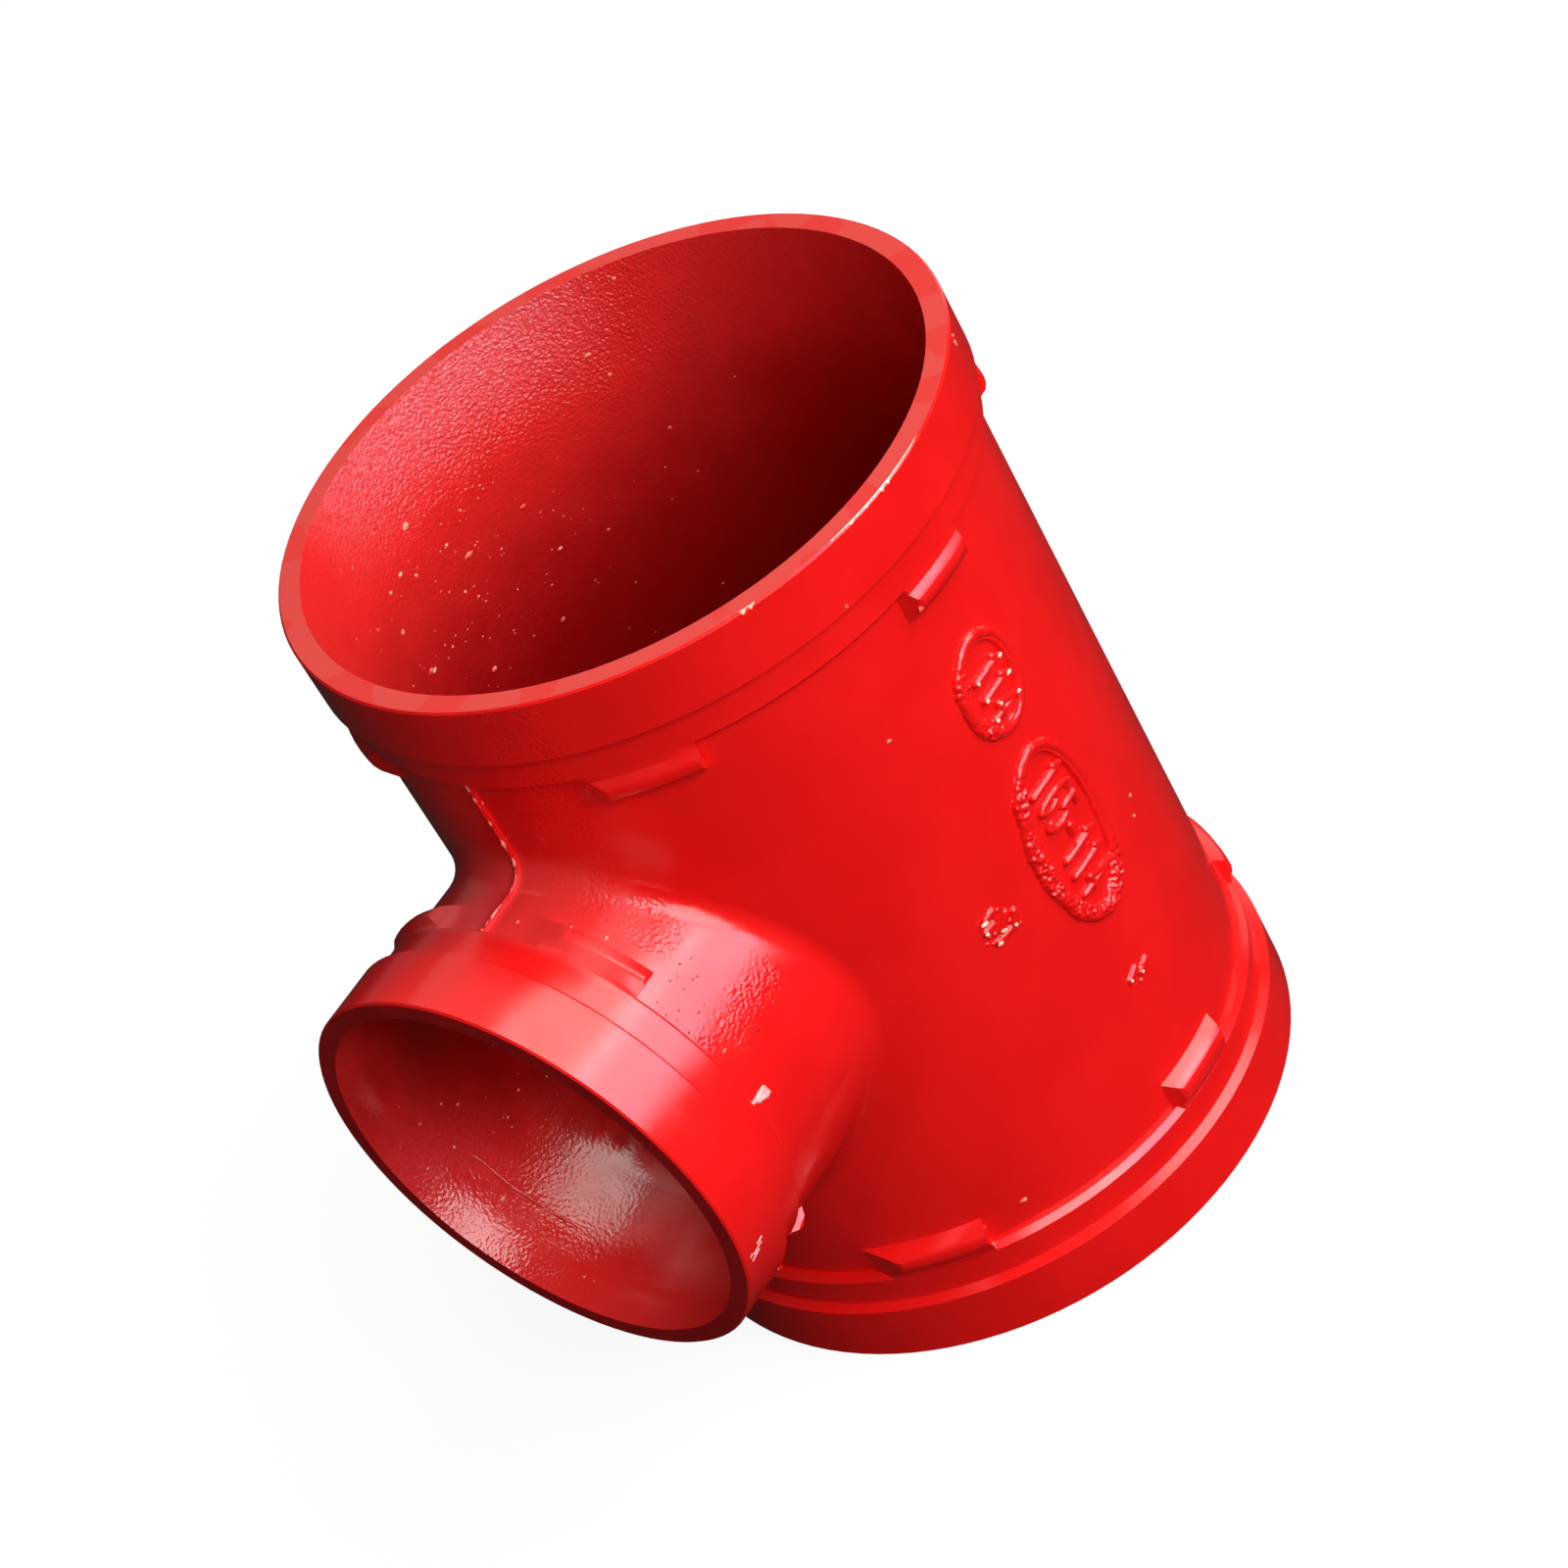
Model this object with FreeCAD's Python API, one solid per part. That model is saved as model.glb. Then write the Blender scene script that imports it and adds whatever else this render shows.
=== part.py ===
"""Reducing grooved tee for fire and water mains, one ductile iron casting. All sizes in millimetres.

The run stands along Z and the branch leaves it along +X. The origin is where the two axes meet, and
the mould parts in the plane y = 0, so everything on the outside draws along Y. Each of the three ports
ends in a plain land, a groove for the coupling's key, and raised lugs that close the groove's inner side.
"""
import FreeCAD, Part
import math
import os

from FreeCAD import Base

# Run, the straight way through
run_pipe_d = 165.1
run_groove_depth = 2.15
run_body_step = 4.55
run_half_length = 109.0
run_rim_wall = 5.6
run_body_wall = 5.2

# Branch, the smaller side outlet
branch_pipe_d = 114.3
branch_groove_depth = 2.1
branch_neck_step = 3.45
branch_neck_straight = 11.4
branch_rim_wall = 4.9
branch_neck_wall = 5.1

# Grooved end, the same on all three ports
land_width = 15.9
groove_width = 8.7
groove_wall_slope = 1.4
shoulder_ease = 0.6
rim_chamfer = 0.5
mouth_depth = 33.6

# Lugs on the inner side of the groove
lug_crest_drop = 0.3
lug_foot = 1.6
lug_foot_sink = 0.3
lug_foot_rise = 0.2
lug_ramp = 2.3
lug_crest_width = 2.3
lug_crest_fall = 0.5
lug_back_slope = 2.3
lug_edge_bevel = 0.7
run_lug_extra_width = 0.7
run_lug_start = 26.5
run_lug_end = 42.0
branch_lug_start = 22.0
branch_lug_end = 43.0
flank_lug_half_width = 9.2
flank_lug_draft = 25.0

# Blends where the branch leaves the run
crotch_radius = 7.0
inner_crotch_bevel = 8.0

# Seam that the two halves of the mould leave all round
seam_height = 0.9
seam_thickness = 1.2

# Raised oval frames on the +Y flank, long way up the run
frame_height = 1.0
frame_band = 1.5
frame_draft = 0.45
small_frame_width = 18.2
small_frame_length = 25.0
small_frame_centre = 46.7
large_frame_width = 23.2
large_frame_length = 49.6
large_frame_centre = 0.0

# Depth that an added feature is sunk into the wall that carries it
root = 2.0

Z = Base.Vector(0, 0, 1)
ORIGIN = Base.Vector(0, 0, 0)
run_pipe_r = run_pipe_d / 2
run_groove_r = run_pipe_r - run_groove_depth
run_body_r = run_pipe_r - run_body_step
branch_pipe_r = branch_pipe_d / 2
branch_groove_r = branch_pipe_r - branch_groove_depth
branch_neck_r = branch_pipe_r - branch_neck_step
groove_back = land_width + groove_width
branch_reach = run_body_r + crotch_radius + branch_neck_straight + groove_back


def turned(corners):
    """Solid of revolution about Z from its (r, z) corners."""
    points = [Base.Vector(r, 0, z) for r, z in corners]
    return Part.Face(Part.makePolygon(points + points[:1])).revolve(ORIGIN, Z, 360)


def onto_branch(shape):
    """Turn a port that was made along +Z to lie along +X."""
    laid = shape.copy()
    laid.rotate(ORIGIN, Base.Vector(0, 1, 0), 90)
    return laid


def grooved_end(pipe_r, groove_r, body_r, reach):
    """Outer corners of one grooved end from its body out to its rim, the rim at z = reach."""
    back = reach - groove_back
    ease = shoulder_ease * (groove_r - body_r)
    return [
        (body_r, back - ease),
        (groove_r - ease, back - ease),
        (groove_r, back),
        (groove_r, reach - land_width - groove_wall_slope),
        (pipe_r, reach - land_width),
        (pipe_r, reach - rim_chamfer),
        (pipe_r - rim_chamfer, reach),
    ]


def mirrored(corners):
    """The same corners at the other end of the run, in order from the rim back to the body."""
    return [(r, -z) for r, z in reversed(corners)]


def outer_form():
    """Run and branch as solid bars, blended at the neck."""
    end = grooved_end(run_pipe_r, run_groove_r, run_body_r, run_half_length)
    run = turned([(0, -run_half_length)] + mirrored(end) + end + [(0, run_half_length)])
    port = grooved_end(branch_pipe_r, branch_groove_r, branch_neck_r, branch_reach)
    branch = turned([(0, 0), (branch_neck_r, 0)] + port + [(0, branch_reach)])
    return blended(run.fuse(onto_branch(branch)), run_body_r, branch_neck_r, crotch_radius)


def spread_points(edge):
    """Seven points spread evenly along an edge."""
    first, last = edge.ParameterRange
    return [edge.valueAt(first + (last - first) * k / 6) for k in range(7)]


def neck_edges(shape, run_r, neck_r):
    """Edges that lie on both the run's cylinder and the branch's cylinder."""
    found = []
    for edge in shape.Edges:
        points = spread_points(edge)
        on_run = all(abs(math.hypot(p.x, p.y) - run_r) < 1e-3 for p in points)
        on_neck = all(abs(math.hypot(p.y, p.z) - neck_r) < 1e-3 for p in points)
        if on_run and on_neck:
            found.append(edge)
    return found


def blended(shape, run_r, neck_r, radius):
    """Fillet the line where the branch meets the run."""
    whole = shape.removeSplitter()
    return whole.makeFillet(radius, neck_edges(whole, run_r, neck_r))


def eased(shape, run_r, neck_r, bevel):
    """Bevel the line where the branch's bore meets the run's bore."""
    whole = shape.removeSplitter()
    return whole.makeChamfer(bevel, neck_edges(whole, run_r, neck_r))


def passage():
    """The water way, cut out of the outer form: mouths that taper to the body's bore."""
    run_bore_r = run_body_r - run_body_wall
    run_mouth_r = run_pipe_r - run_rim_wall
    branch_bore_r = branch_neck_r - branch_neck_wall
    branch_mouth_r = branch_pipe_r - branch_rim_wall
    end = [
        (run_bore_r, run_half_length - mouth_depth),
        (run_mouth_r, run_half_length),
        (run_mouth_r, run_half_length + root),
    ]
    run = turned([(0, -run_half_length - root)] + mirrored(end) + end + [(0, run_half_length + root)])
    port = [
        (branch_bore_r, branch_reach - mouth_depth),
        (branch_mouth_r, branch_reach),
        (branch_mouth_r, branch_reach + root),
    ]
    branch = turned([(0, 0), (branch_bore_r, 0)] + port + [(0, branch_reach + root)])
    return eased(run.fuse(onto_branch(branch)), run_bore_r, branch_bore_r, inner_crotch_bevel)


def lug_ring(groove_r, body_r, crest_r, crest_width, reach):
    """Full ring with the lugs' section, to be cut to length by each lug's own ends."""
    back = reach - groove_back
    crest_start = back - lug_foot - lug_ramp
    crest_end = crest_start - crest_width
    return turned([
        (body_r - root, back + root),
        (groove_r - lug_foot_sink, back + root),
        (groove_r + lug_foot_rise, back - lug_foot),
        (crest_r, crest_start),
        (crest_r - lug_crest_fall, crest_end),
        (body_r, crest_end - lug_back_slope),
        (body_r - root, crest_end - lug_back_slope),
    ])


def prism(plan, low, high):
    """Upright block over a plan of (x, y) points."""
    points = [Base.Vector(x, y, low) for x, y in plan]
    return Part.Face(Part.makePolygon(points + points[:1])).extrude(Base.Vector(0, 0, high - low))


def side_lug_plan(crest_r, start, end):
    """Plan of a lug beside the seam: cut square to the draw at its start and radially at its end."""
    start_x = crest_r * math.cos(math.radians(start))
    far = crest_r + root
    end_angle = math.radians(end)
    return [
        (0, 0),
        (start_x, 0),
        (start_x, far),
        (far * math.cos(end_angle), far),
        (far * math.cos(end_angle), far * math.sin(end_angle)),
    ]


def flank_lug_plan(crest_r, body_r):
    """Plan of the lug on the flank, with drafted ends."""
    spread = math.tan(math.radians(flank_lug_draft))
    low_y = body_r - 2 * root
    high_y = crest_r + root
    low_half = flank_lug_half_width + (crest_r - low_y) * spread
    high_half = flank_lug_half_width - (high_y - crest_r) * spread
    return [(-low_half, low_y), (low_half, low_y), (high_half, high_y), (-high_half, high_y)]


def lowest_radius(face):
    """Distance from Z to the nearest corner of a face."""
    return min(math.hypot(corner.Point.x, corner.Point.y) for corner in face.Vertexes)


def softened(lug):
    """Bevel the edges of a lug that bound its crest, the face that stays furthest out."""
    crest = max(lug.Faces, key=lowest_radius)
    return lug.makeChamfer(lug_edge_bevel, crest.Edges)


def mirrored_pair(shape, normal):
    """A shape and its mirror image in the plane through the origin with this normal."""
    return [shape, shape.mirror(ORIGIN, normal)]


def port_lugs(pipe_r, groove_r, body_r, crest_width, reach, start, end, with_flank):
    """All lugs of one port, made along +Z."""
    crest_r = pipe_r - lug_crest_drop
    ring = lug_ring(groove_r, body_r, crest_r, crest_width, reach)
    side = softened(ring.common(prism(side_lug_plan(crest_r, start, end), 0, reach)))
    lugs = []
    for half in mirrored_pair(side, Base.Vector(1, 0, 0)):
        lugs += mirrored_pair(half, Base.Vector(0, 1, 0))
    if with_flank:
        flank = softened(ring.common(prism(flank_lug_plan(crest_r, body_r), 0, reach)))
        lugs += mirrored_pair(flank, Base.Vector(0, 1, 0))
    return lugs


def all_lugs():
    """Lugs of both run ends and of the branch."""
    run_crest_width = lug_crest_width + run_lug_extra_width
    top = port_lugs(run_pipe_r, run_groove_r, run_body_r, run_crest_width, run_half_length,
                    run_lug_start, run_lug_end, True)
    bottom = [lug.mirror(ORIGIN, Z) for lug in top]
    side = port_lugs(branch_pipe_r, branch_groove_r, branch_neck_r, lug_crest_width, branch_reach,
                     branch_lug_start, branch_lug_end, False)
    return top + bottom + [onto_branch(lug) for lug in side]


def seam():
    """Low fin in the parting plane, over the body and the neck and into the grooved ends."""
    run_r = run_body_r + seam_height
    neck_r = branch_neck_r + seam_height
    run_end = run_half_length - groove_back + root
    branch_end = branch_reach - groove_back + root
    run = Part.makeCylinder(run_r, 2 * run_end, Base.Vector(0, 0, -run_end))
    neck = Part.makeCylinder(neck_r, branch_end, ORIGIN, Base.Vector(1, 0, 0))
    swollen = blended(run.fuse(neck), run_r, neck_r, crotch_radius - seam_height)
    slab = Part.makeBox(4 * run_half_length, seam_thickness, 4 * run_half_length,
                        Base.Vector(-2 * run_half_length, -seam_thickness / 2, -2 * run_half_length))
    return swollen.common(slab)


def oval(width, length, centre, draft):
    """Oval bar out through the +Y flank, its long way along Z, wider by the draft at the body's surface."""
    rims = []
    for y, extra in [(run_body_r - 2 * root, 2 * root + frame_height), (run_body_r + frame_height, 0)]:
        grow = draft * extra / frame_height
        middle = Base.Vector(0, y, centre)
        rim = Part.Ellipse(middle + Base.Vector(0, 0, length / 2 + grow),
                           middle + Base.Vector(width / 2 + grow, 0, 0), middle)
        rims.append(Part.Wire(rim.toShape()))
    return Part.makeLoft(rims, True, True)


def oval_frame(width, length, centre):
    """Raised oval band that follows the curve of the body, with drafted sides."""
    inside = oval(width - 2 * frame_band, length - 2 * frame_band, centre, -frame_draft)
    band = oval(width, length, centre, frame_draft).cut(inside)
    height = 2 * run_half_length
    shell = Part.makeCylinder(run_body_r + frame_height, height, Base.Vector(0, 0, -run_half_length))
    core = Part.makeCylinder(run_body_r - root / 2, height, Base.Vector(0, 0, -run_half_length))
    return band.common(shell.cut(core))


def tee_body():
    """The finished casting."""
    outside = outer_form().fuse([seam()] + all_lugs() + [
        oval_frame(small_frame_width, small_frame_length, small_frame_centre),
        oval_frame(large_frame_width, large_frame_length, large_frame_centre),
    ])
    return outside.cut(passage()).removeSplitter()


os.makedirs("parts", exist_ok=True)
casting = tee_body()
print("solids", len(casting.Solids), "valid", casting.isValid(), "volume cm3", casting.Volume / 1000)
casting.exportStep("parts/tee_body.step")
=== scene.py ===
"""Red grooved tee, one iron casting under a thick glossy enamel, standing on a pale floor."""
import bmesh
import bpy
import math
import random

from mathutils import Matrix, Vector, noise


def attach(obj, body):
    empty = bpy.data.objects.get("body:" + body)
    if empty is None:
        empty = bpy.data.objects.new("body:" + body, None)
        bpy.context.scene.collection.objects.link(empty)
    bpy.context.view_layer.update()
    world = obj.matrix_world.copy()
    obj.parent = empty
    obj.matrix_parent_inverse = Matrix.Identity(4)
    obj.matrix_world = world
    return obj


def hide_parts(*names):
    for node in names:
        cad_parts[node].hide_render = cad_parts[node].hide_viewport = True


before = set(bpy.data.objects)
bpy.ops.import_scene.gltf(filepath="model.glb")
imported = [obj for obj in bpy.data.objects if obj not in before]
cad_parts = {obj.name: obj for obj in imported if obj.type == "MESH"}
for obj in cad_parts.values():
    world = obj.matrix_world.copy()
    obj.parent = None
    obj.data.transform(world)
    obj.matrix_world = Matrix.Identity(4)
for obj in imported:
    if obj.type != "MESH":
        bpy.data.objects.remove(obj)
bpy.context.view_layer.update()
bpy.ops.object.select_all(action="DESELECT")

# The camera looks down on the tee from its flank, a metre off, and leans so that the run tilts to the left.
# Its lens is long, so the ports look nearly as round as they are.
camera_place = (0.50275, 0.66143, 0.61062)
camera_azimuth = math.radians(52.9883)
camera_rise = math.radians(36.0674)
camera_lean = math.radians(-30.328)
bpy.ops.object.camera_add(location=camera_place)
camera = bpy.context.object
camera.name = "camera"
backward = Vector((math.cos(camera_rise) * math.cos(camera_azimuth),
                   math.cos(camera_rise) * math.sin(camera_azimuth), math.sin(camera_rise)))
level_right = Vector((-math.sin(camera_azimuth), math.cos(camera_azimuth), 0.0))
right = level_right * math.cos(camera_lean) + backward.cross(level_right) * math.sin(camera_lean)
camera.rotation_euler = Matrix((right, backward.cross(right), backward)).transposed().to_euler()
camera.data.lens = 99.9
camera.data.sensor_width = 36.0
camera.data.clip_start = 0.05
camera.data.clip_end = 20.0
bpy.context.scene.camera = camera

# The casting is ductile iron, poured in a sand mould in two halves, with its three grooved ends turned or
# cast to size. The thick paint rounds every edge, so the copy of the solid gets a small round all over.
mm = 0.001
run_half_length = 109 * mm
branch_reach = 121 * mm
body_radius = 78 * mm
run_bore = 72.8 * mm
run_mouth = 76.95 * mm
branch_bore = 48.6 * mm
branch_mouth = 52.25 * mm
rim_round = 1.1 * mm
edge_share = 0.36
merge_gap = 0.004 * mm


def only(piece):
    """Select one piece and nothing else."""
    if bpy.context.object and bpy.context.object.mode != "OBJECT":
        bpy.ops.object.mode_set(mode="OBJECT")
    bpy.ops.object.select_all(action="DESELECT")
    piece.select_set(True)
    bpy.context.view_layer.objects.active = piece


def apply_modifier(piece, kind, **settings):
    """Add one modifier, set it up and apply it."""
    only(piece)
    bpy.ops.object.modifier_add(type=kind)
    modifier = piece.modifiers[-1]
    for key, value in settings.items():
        setattr(modifier, key, value)
    bpy.ops.object.modifier_apply(modifier=modifier.name)


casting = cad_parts["tee_body"].copy()
casting.data = casting.data.copy()
casting.name = "casting"
casting.parent = None
for key in list(casting.keys()):
    del casting[key]
bpy.context.collection.objects.link(casting)
only(casting)
bpy.ops.mesh.customdata_custom_splitnormals_clear()
bpy.ops.object.mode_set(mode="EDIT")
bpy.ops.mesh.select_all(action="SELECT")
bpy.ops.mesh.remove_doubles(threshold=merge_gap)
bpy.ops.object.mode_set(mode="OBJECT")
# The run's inner rims get the full round and the other sharp edges a share of it. The crotch inside, where
# the two bores meet, is left to smooth shading.
shell = bmesh.new()
shell.from_mesh(casting.data)
weight = shell.edges.layers.float.new("bevel_weight_edge")
for edge in shell.edges:
    if len(edge.link_faces) != 2 or edge.calc_face_angle() < math.radians(28):
        continue
    middle = 0.5 * (edge.verts[0].co + edge.verts[1].co)
    run_distance = math.hypot(middle.x, middle.y)
    branch_distance = math.hypot(middle.y, middle.z)
    near_crotch = 45 * mm < middle.x < 84 * mm and abs(middle.z) < 60 * mm
    on_run_bore = abs(run_distance - run_bore) < 0.4 * mm
    on_branch_bore = abs(branch_distance - branch_bore) < 0.4 * mm
    if near_crotch and (on_run_bore or on_branch_bore):
        continue
    inner_rim = abs(middle.z) > run_half_length - 0.5 * mm and run_distance < body_radius
    edge[weight] = 1.0 if inner_rim else edge_share
shell.to_mesh(casting.data)
shell.free()
apply_modifier(casting, "BEVEL", width=rim_round, segments=3, limit_method="WEIGHT", use_clamp_overlap=True)
only(casting)
bpy.ops.object.shade_smooth_by_angle(angle=math.radians(50))
apply_modifier(casting, "WEIGHTED_NORMAL", keep_sharp=True, weight=50)
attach(casting, "root")
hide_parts("tee_body")

# The whole casting was dipped in red enamel and drained. It lies thick and glossy outside, dull on the rims
# and uneven in the bores, and the skin that the sand left on the iron shows through it.


def new_group(name, inputs, outputs):
    """Start a node group with named float inputs and outputs."""
    group = bpy.data.node_groups.new(name, "ShaderNodeTree")
    for label, value in inputs:
        socket = group.interface.new_socket(name=label, in_out="INPUT", socket_type="NodeSocketFloat")
        socket.default_value = value
    for label in outputs:
        group.interface.new_socket(name=label, in_out="OUTPUT", socket_type="NodeSocketFloat")
    return group, group.nodes.new("NodeGroupInput"), group.nodes.new("NodeGroupOutput")


def add(tree, kind, **settings):
    """Add one node; keys that name a socket set its value, the others set the node."""
    node = tree.nodes.new(kind)
    for key, value in settings.items():
        label = key.replace("_", " ")
        if label in node.inputs:
            node.inputs[label].default_value = value
        else:
            setattr(node, key, value)
    return node


def maths(tree, operation, first, second):
    """One Math node on two numbers or sockets."""
    node = tree.nodes.new("ShaderNodeMath")
    node.operation = operation
    for slot_number, value in enumerate((first, second)):
        if isinstance(value, (int, float)):
            node.inputs[slot_number].default_value = value
        else:
            tree.links.new(value, node.inputs[slot_number])
    return node.outputs[0]


def ramp(tree, source, low, high, bottom=0.0, top=1.0):
    """Smooth step of a socket from low to high."""
    node = add(tree, "ShaderNodeMapRange", interpolation_type="SMOOTHSTEP", clamp=True)
    tree.links.new(source, node.inputs["Value"])
    node.inputs["From Min"].default_value = low
    node.inputs["From Max"].default_value = high
    node.inputs["To Min"].default_value = bottom
    node.inputs["To Max"].default_value = top
    return node.outputs["Result"]


def grain(tree, size, detail=2.0, rough=0.5):
    """Noise whose features are about this many metres across, centred on nought."""
    where = tree.nodes.new("ShaderNodeTexCoord")
    node = add(tree, "ShaderNodeTexNoise", Scale=1.0 / size, Detail=detail, Roughness=rough)
    tree.links.new(where.outputs["Object"], node.inputs["Vector"])
    return maths(tree, "SUBTRACT", node.outputs["Fac"], 0.5)


def mixed(tree, factor, first, second):
    """Mix node of two colours, each a socket or red, green and blue; its blend comes out of output 2."""
    node = add(tree, "ShaderNodeMix", data_type="RGBA")
    tree.links.new(factor, node.inputs["Factor"])
    for slot_number, colour in ((6, first), (7, second)):
        if isinstance(colour, tuple):
            node.inputs[slot_number].default_value = (*colour, 1.0)
        else:
            tree.links.new(colour, node.inputs[slot_number])
    return node


# Relief of a sand casting under paint, in metres: slow waves, the sand's grain and the peel of the paint.
relief, relief_in, relief_out = new_group(
    "cast_relief", [("Waves", 0.0), ("Grain", 0.0), ("Peel", 0.0)], ["Height"])
waves = maths(relief, "MULTIPLY", grain(relief, 22 * mm, 1.0), relief_in.outputs["Waves"])
coarse = maths(relief, "MULTIPLY", grain(relief, 0.85 * mm, 1.5, 0.5), relief_in.outputs["Grain"])
peel = maths(relief, "MULTIPLY", grain(relief, 0.85 * mm, 0.0), relief_in.outputs["Peel"])
height = maths(relief, "ADD", maths(relief, "ADD", waves, coarse), peel)
relief.links.new(height, relief_out.inputs["Height"])


def painted(name, deep, light, patch, rough_low, rough_high, gloss, **bumps):
    """Red paint that varies from deep to light in patches, over the cast relief."""
    material = bpy.data.materials.new(name)
    material.use_nodes = True
    tree = material.node_tree
    shader = tree.nodes["Principled BSDF"]
    shader.inputs["Specular IOR Level"].default_value = gloss
    blend = mixed(tree, ramp(tree, grain(tree, patch, 3.0, 0.55), -0.16, 0.16), deep, light)
    tree.links.new(blend.outputs[2], shader.inputs["Base Color"])
    tree.links.new(ramp(tree, grain(tree, 9 * mm, 2.0), -0.2, 0.2, rough_low, rough_high),
                   shader.inputs["Roughness"])
    group = tree.nodes.new("ShaderNodeGroup")
    group.node_tree = relief
    for key, value in bumps.items():
        group.inputs[key].default_value = value
    bump = add(tree, "ShaderNodeBump", Strength=1.0, Distance=1.0)
    tree.links.new(group.outputs["Height"], bump.inputs["Height"])
    tree.links.new(bump.outputs["Normal"], shader.inputs["Normal"])
    return material, tree, shader, blend, group


enamel, tree, shader, blend, group = painted(
    "red_enamel", (0.73, 0.0062, 0.0055), (0.79, 0.008, 0.0068), 30 * mm, 0.17, 0.25, 0.62,
    Waves=0.10 * mm, Grain=0.0, Peel=0.0)
position = tree.nodes.new("ShaderNodeTexCoord")
axes = tree.nodes.new("ShaderNodeSeparateXYZ")
tree.links.new(position.outputs["Object"], axes.inputs["Vector"])
around_neck = maths(tree, "ARCTAN2", axes.outputs["Z"], axes.outputs["Y"])
around_run = maths(tree, "ARCTAN2", axes.outputs["Y"], axes.outputs["X"])


def stretch(turn, start, full, fading, end):
    """Soft stretch of a turning angle: it comes in from start to full and goes out from fading to end."""
    return maths(tree, "MULTIPLY", ramp(tree, turn, math.radians(start), math.radians(full)),
                 ramp(tree, turn, math.radians(end), math.radians(fading)))


def zone(turn_low, turn_high, out_low, out_high):
    """Soft patch of the neck between two bearings, in degrees, and two distances out, in millimetres."""
    sides = stretch(around_neck, turn_low - 5, turn_low + 5, turn_high - 5, turn_high + 5)
    ends = maths(tree, "MULTIPLY", ramp(tree, axes.outputs["X"], (out_low - 3) * mm, (out_low + 2) * mm),
                 ramp(tree, axes.outputs["X"], (out_high + 2) * mm, (out_high - 2) * mm))
    return maths(tree, "MULTIPLY", sides, ends)


# Where the paint ran thick round the neck's fillet, it dried with an orange peel.
peel_height = 0.22 * mm
peeled = maths(tree, "MAXIMUM", zone(19, 33, 68, 95), zone(46, 82, 74, 84))
uneven = ramp(tree, grain(tree, 8 * mm, 1.0), -0.14, 0.10, 0.25, 1.0)
tree.links.new(maths(tree, "MULTIPLY", maths(tree, "MULTIPLY", peeled, uneven), peel_height),
               group.inputs["Peel"])

# Knocks have broken the paint along the outer edge of the upper rim, so the pale undercoat shows there as
# a thin line with short tags.
flat_place = tree.nodes.new("ShaderNodeCombineXYZ")
tree.links.new(axes.outputs["X"], flat_place.inputs["X"])
tree.links.new(axes.outputs["Y"], flat_place.inputs["Y"])
tags = add(tree, "ShaderNodeTexNoise", Scale=1.0 / (2.2 * mm), Detail=2.0)
tree.links.new(flat_place.outputs["Vector"], tags.inputs["Vector"])
tag_length = ramp(tree, tags.outputs["Fac"], 0.50, 0.78, 0.0, 1.7 * mm)
long_run = stretch(around_run, 73, 78, 96, 99)
short_run = stretch(around_run, 57, 58, 59.5, 61)
tag_part = ramp(tree, around_run, math.radians(91), math.radians(88))
reach = maths(tree, "ADD", maths(tree, "MULTIPLY", tag_length, tag_part), 0.24 * mm)
knocked = maths(tree, "MULTIPLY", maths(tree, "MAXIMUM", long_run, short_run), reach)
below_edge = maths(tree, "SUBTRACT", run_half_length, axes.outputs["Z"])
broken = ramp(tree, maths(tree, "SUBTRACT", knocked, below_edge), 0.03 * mm, 0.12 * mm)

# A pale painted sheen lies on the upper side of the neck, for the broad reflection of the lamps there.
neck_sheen_zone = maths(tree, "MAXIMUM", zone(54, 66, 76, 97), maths(tree, "MULTIPLY", zone(60, 114, 76, 97), 0.42))
on_the_neck = ramp(tree, axes.outputs["Z"], 62 * mm, 56 * mm)
neck_sheen = mixed(tree, maths(tree, "MULTIPLY", neck_sheen_zone, on_the_neck), blend.outputs[2], (0.78, 0.062, 0.058))
undercoat = mixed(tree, broken, neck_sheen.outputs[2], (0.86, 0.45, 0.27))
tree.links.new(undercoat.outputs[2], shader.inputs["Base Color"])
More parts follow.
